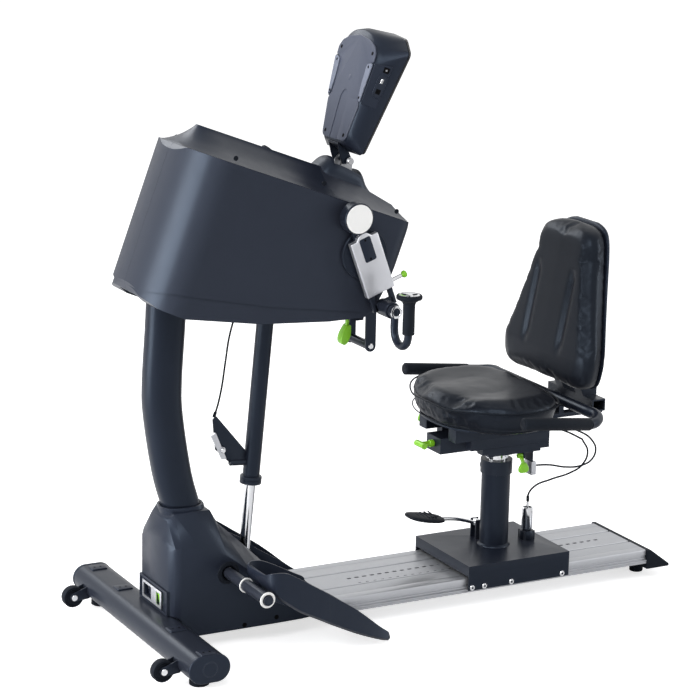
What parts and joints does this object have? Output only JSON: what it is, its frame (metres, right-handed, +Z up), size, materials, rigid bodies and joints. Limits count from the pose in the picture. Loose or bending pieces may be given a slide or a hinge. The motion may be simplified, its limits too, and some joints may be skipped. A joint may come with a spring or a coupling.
{
  "type": "arm ergometer",
  "caption": "Upper-body arm ergometer with a tilting crank head, colour console, footrests and a swivelling padded seat that slides along an aluminium rail.",
  "frame": {"origin": "on the floor, under the middle of the whole machine's length and width", "axes": "+X from the cranking head towards the seat end of the rail, +Y to the right-hand side of a person seated facing the head, +Z up"},
  "size_m": [1.562, 0.72, 1.4788],
  "materials": {
    "black_metal": "black powder coat, fine texture",
    "casing_plastic": "moulded black plastic, fine grain",
    "black_rubber": "soft black rubber",
    "black_foam": "closed-cell foam grip",
    "silver_cover": "satin silver housing",
    "rail_aluminium": "satin anodised extrusion",
    "bright_chrome": "polished chrome",
    "plain_steel": "turned and brushed steel",
    "bracket_steel": "zinc plated sheet",
    "green_plastic": "lime green moulded plastic",
    "console_plastic": "grey-blue moulded plastic",
    "screen_glass": "glossy black screen",
    "vinyl": "black grained vinyl"
  },
  "bodies": {
    "base": {"foot_bar": "black_metal", "foot_bar_cap_left": "casing_plastic", "foot_bar_cap_right": "casing_plastic", "rubber_foot_left": "black_rubber", "rubber_foot_right": "black_rubber", "base_frame": "black_metal", "base_shroud": "casing_plastic", "power_inlet": "casing_plastic", "column": "black_metal", "seat_rail": "rail_aluminium", "rail_end_cap": "black_rubber"},
    "wheel_left": {"transport_wheel_left": "black_rubber"},
    "wheel_right": {"transport_wheel_right": "black_rubber"},
    "switch": {"power_switch": "green_plastic"},
    "left_footrest": {"footrest_left": "casing_plastic"},
    "right_footrest": {"footrest_right": "casing_plastic"},
    "head": {"head_frame": "plain_steel", "top_cover": "casing_plastic", "nose_cover": "casing_plastic", "side_cover_left": "casing_plastic", "side_cover_right": "casing_plastic", "grab_handle": "black_metal", "drive_belt": "black_rubber"},
    "head_lever": {"height_lever": "green_plastic"},
    "crank": {"crank_shaft": "plain_steel", "crank_arm_left": "black_metal", "crank_arm_right": "black_metal", "arm_cover_left": "silver_cover", "arm_cover_right": "silver_cover"},
    "fly": {"flywheel": "plain_steel"},
    "fork_left": {"crank_fork_left": "black_metal"},
    "fork_right": {"crank_fork_right": "black_metal"},
    "pin_left": {"pull_pin_left": "green_plastic"},
    "pin_right": {"pull_pin_right": "green_plastic"},
    "handle_left": {"handle_tube_left": "black_metal", "handle_grip_left": "black_foam"},
    "handle_right": {"handle_tube_right": "black_metal", "handle_grip_right": "black_foam"},
    "console": {"console_bracket": "bracket_steel", "console_shell": "console_plastic", "console_screen": "screen_glass"},
    "strut_lower": {"strut_rod": "bright_chrome"},
    "strut_upper": {"strut_tube": "black_metal", "cable_strut": "black_rubber"},
    "strut_lever": {"strut_release_lever": "bracket_steel"},
    "trolley": {"carriage": "black_metal"},
    "pedal": {"foot_pedal": "black_rubber"},
    "lock": {"lock_pin": "bright_chrome"},
    "post": {"post_slider": "black_metal"},
    "swivel": {"swivel_frame": "black_metal"},
    "knob": {"slide_knob": "green_plastic"},
    "turn_lever": {"swivel_lever": "green_plastic"},
    "seat": {"seat_pan": "black_metal", "seat_cushion": "vinyl", "backrest_shell": "casing_plastic", "backrest_cushion": "vinyl", "handlebar": "black_foam", "cable_lock": "black_rubber", "cable_lever": "black_rubber"},
    "move_lever": {"slide_lever": "green_plastic"}
  },
  "joints": [
    {"name": "wheel_left_spin", "type": "hinge", "parent": "base", "child": "wheel_left", "pos_m": [-0.754, -0.278, 0.04], "axis": [0, 1, 0], "continuous": true},
    {"name": "wheel_right_spin", "type": "hinge", "parent": "base", "child": "wheel_right", "pos_m": [-0.754, 0.278, 0.04], "axis": [0, 1, 0], "continuous": true},
    {"name": "power_rocker", "type": "hinge", "parent": "base", "child": "switch", "pos_m": [-0.651, -0.034, 0.121], "axis": [0, 1, 0], "range_deg": [0, 14]},
    {"name": "footrest_left_fold", "type": "hinge", "parent": "base", "child": "left_footrest", "pos_m": [-0.501, -0.26, 0.186], "axis": [0, -1, 0], "range_deg": [0, 35]},
    {"name": "footrest_right_fold", "type": "hinge", "parent": "base", "child": "right_footrest", "pos_m": [-0.501, 0.26, 0.186], "axis": [0, -1, 0], "range_deg": [0, 35]},
    {"name": "head_tilt", "type": "hinge", "parent": "base", "child": "head", "pos_m": [-0.619, 0, 0.965], "axis": [0, -1, 0], "range_deg": [-5, 10], "deforming": ["cable_strut"]},
    {"name": "height_lever_pull", "type": "hinge", "parent": "head", "child": "head_lever", "pos_m": [-0.131, 0.008, 0.764], "axis": [0, -1, 0], "range_deg": [0, 18], "stiffness_Nm_per_rad": 1, "springref_deg": -11.46},
    {"name": "crank_spin", "type": "hinge", "parent": "head", "child": "crank", "pos_m": [-0.189, 0, 0.962], "axis": [0, 1, 0], "continuous": true},
    {"name": "flywheel_spin", "type": "hinge", "parent": "head", "child": "fly", "pos_m": [-0.433, 0, 1.03], "axis": [0, 1, 0], "continuous": true},
    {"name": "fork_left_slide", "type": "slide", "parent": "crank", "child": "fork_left", "axis": [0.3502, 0, -0.9367], "range_m": [-0.018, 0.018]},
    {"name": "fork_right_slide", "type": "slide", "parent": "crank", "child": "fork_right", "axis": [-0.3502, 0, 0.9367], "range_m": [-0.018, 0.018]},
    {"name": "pin_left_pull", "type": "slide", "parent": "crank", "child": "pin_left", "axis": [0.9367, 0, 0.3502], "range_m": [0, 0.01], "stiffness_N_per_m": 300, "springref_m": -0.01},
    {"name": "pin_right_pull", "type": "slide", "parent": "crank", "child": "pin_right", "axis": [-0.9367, 0, -0.3502], "range_m": [0, 0.01], "stiffness_N_per_m": 300, "springref_m": -0.01},
    {"name": "handle_left_turn", "type": "hinge", "parent": "fork_left", "child": "handle_left", "pos_m": [-0.14032, -0.25, 0.8318], "axis": [0, 1, 0], "continuous": true},
    {"name": "handle_right_turn", "type": "hinge", "parent": "fork_right", "child": "handle_right", "pos_m": [-0.23768, 0.25, 1.0922], "axis": [0, 1, 0], "continuous": true},
    {"name": "console_tilt", "type": "hinge", "parent": "head", "child": "console", "pos_m": [-0.157, 0, 1.16], "axis": [0, 1, 0], "range_deg": [-10, 10]},
    {"name": "strut_swing", "type": "hinge", "parent": "base", "child": "strut_lower", "pos_m": [-0.412, 0, 0.19], "axis": [0, -1, 0], "range_deg": [-1.05, 0.55], "deforming": ["cable_strut"]},
    {"name": "strut_slide", "type": "slide", "parent": "strut_lower", "child": "strut_upper", "axis": [0.0848, 0, 0.9964], "range_m": [-0.0245, 0.0485], "deforming": ["cable_strut"]},
    {"name": "strut_release", "type": "hinge", "parent": "strut_upper", "child": "strut_lever", "pos_m": [-0.4768, -0.007, 0.4665], "axis": [0, 1, 0], "range_deg": [0, 20], "stiffness_Nm_per_rad": 0.5, "springref_deg": -17.19},
    {"name": "carriage_slide", "type": "slide", "parent": "base", "child": "trolley", "axis": [1, 0, 0], "range_m": [-0.154, 0.22]},
    {"name": "pedal_press", "type": "hinge", "parent": "trolley", "child": "pedal", "pos_m": [0.297, 0.062, 0.158], "axis": [0, -1, 0], "range_deg": [-7, 0]},
    {"name": "lock_drop", "type": "slide", "parent": "trolley", "child": "lock", "axis": [0, 0, 1], "range_m": [-0.0135, 0], "deforming": ["cable_lock"]},
    {"name": "post_height", "type": "slide", "parent": "trolley", "child": "post", "axis": [0, 0, 1], "range_m": [-0.015, 0.11], "deforming": ["cable_lock"]},
    {"name": "seat_swivel", "type": "hinge", "parent": "post", "child": "swivel", "pos_m": [0.312, 0, 0.378], "axis": [0, 0, 1], "range_deg": [-90, 90], "deforming": ["cable_lock"]},
    {"name": "knob_pull", "type": "slide", "parent": "swivel", "child": "knob", "axis": [-1, 0, 0], "range_m": [0, 0.012], "stiffness_N_per_m": 400, "springref_m": -0.01},
    {"name": "turn_lever_lift", "type": "hinge", "parent": "swivel", "child": "turn_lever", "pos_m": [0.333, -0.078, 0.375], "axis": [-1, 0, 0], "range_deg": [0, 15], "stiffness_Nm_per_rad": 0.5, "springref_deg": -17.19},
    {"name": "seat_slide", "type": "slide", "parent": "swivel", "child": "seat", "axis": [1, 0, 0], "range_m": [-0.05, 0.05], "deforming": ["cable_lock", "cable_lever"]},
    {"name": "move_lever_lift", "type": "hinge", "parent": "seat", "child": "move_lever", "pos_m": [0.181, 0.148, 0.461], "axis": [1, 0, 0], "range_deg": [0, 15], "stiffness_Nm_per_rad": 0.5, "springref_deg": -17.19}
  ],
  "couplings": [
    {"joint": "flywheel_spin", "follows": "crank_spin", "ratio": 2.9333},
    {"joint": "strut_swing", "follows": "head_tilt", "ratio": -0.09966},
    {"joint": "strut_slide", "follows": "head_tilt", "m_per_rad": 0.27519},
    {"joint": "lock_drop", "follows": "pedal_press", "m_per_rad": 0.1097}
  ]
}
